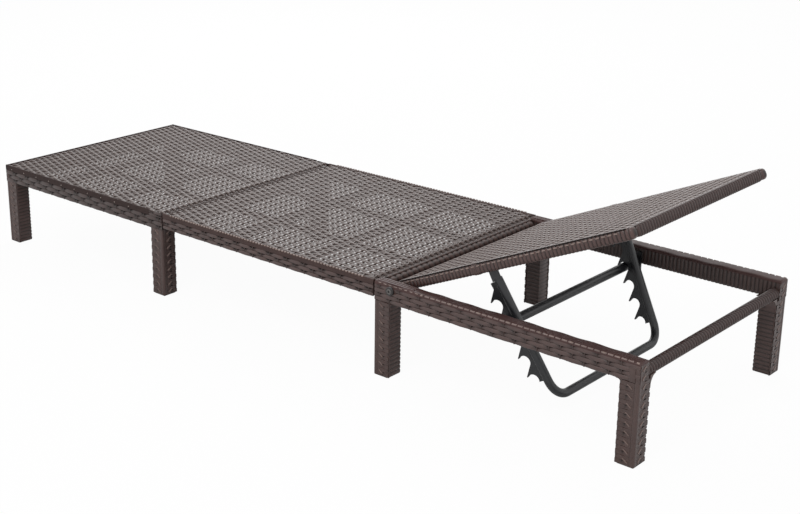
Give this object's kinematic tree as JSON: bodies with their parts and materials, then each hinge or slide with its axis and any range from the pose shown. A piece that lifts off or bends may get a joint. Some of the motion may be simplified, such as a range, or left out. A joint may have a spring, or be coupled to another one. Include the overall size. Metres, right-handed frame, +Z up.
{
  "type": "garden chaise longue",
  "caption": "Low woven garden chaise longue with a flat foot section, a hung middle panel and a backrest held up by a notched prop.",
  "frame": {"origin": "on the floor under the middle of the lounger's length and width", "axes": "+X from the foot end to the head end, +Y to the left of someone lying on it face up, +Z up"},
  "size_m": [1.95, 0.613, 0.4538],
  "materials": {
    "weave": "dark brown woven polyethylene strand with a soft sheen",
    "wrapped_frame": "tube wrapped in dark brown strand",
    "support_tube": "dark brown powder coat",
    "black_steel": "black powder coat, slightly glossy",
    "fastener": "dark plated steel",
    "plastic": "black plastic"
  },
  "bodies": {
    "frame": {"foot_rail_front": "wrapped_frame", "foot_rail_back": "wrapped_frame", "foot_end_rail": "wrapped_frame", "foot_inner_rail": "wrapped_frame", "foot_deck": "weave", "foot_cross_tubes": "support_tube", "foot_long_tubes": "support_tube", "foot_leg_front": "wrapped_frame", "foot_leg_back": "wrapped_frame", "inner_leg_front": "wrapped_frame", "inner_leg_back": "wrapped_frame", "mid_rail_front": "wrapped_frame", "mid_rail_back": "wrapped_frame", "mid_rail_foot": "wrapped_frame", "mid_rail_head": "wrapped_frame", "mid_deck": "weave", "mid_cross_tubes": "support_tube", "mid_long_tubes": "support_tube", "join_bolts": "fastener", "join_nuts": "fastener", "join_pads": "plastic", "head_rail_front": "wrapped_frame", "head_rail_back": "wrapped_frame", "head_cross_rail": "wrapped_frame", "head_end_tube": "wrapped_frame", "head_leg_front": "wrapped_frame", "head_leg_back": "wrapped_frame", "end_leg_front": "wrapped_frame", "end_leg_back": "wrapped_frame", "leg_glides": "plastic", "prop_bar": "black_steel", "bar_bracket_front": "black_steel", "bar_bracket_back": "black_steel", "pivot_bolts": "fastener"},
    "backrest": {"pivot_bushes": "plastic", "backrest_tube_front": "wrapped_frame", "backrest_tube_back": "wrapped_frame", "backrest_tube_hinge": "wrapped_frame", "backrest_tube_head": "wrapped_frame", "backrest_cross_tubes": "support_tube", "backrest_deck": "weave", "prop_bolts": "fastener"},
    "prop": {"prop_tube": "black_steel", "notch_plate_front": "black_steel", "notch_plate_back": "black_steel"}
  },
  "joints": [
    {"name": "backrest_hinge", "type": "hinge", "parent": "frame", "child": "backrest", "pos_m": [0.383, 0, 0.201], "axis": [0, -1, 0], "range_deg": [0, 36]},
    {"name": "prop_hinge", "type": "hinge", "parent": "backrest", "child": "prop", "pos_m": [0.59593, 0, 0.29142], "axis": [0, -1, 0], "range_deg": [0, 80]}
  ],
  "couplings": [
    {"joint": "prop_hinge", "follows": "backrest_hinge", "ratio": 2.2222}
  ]
}
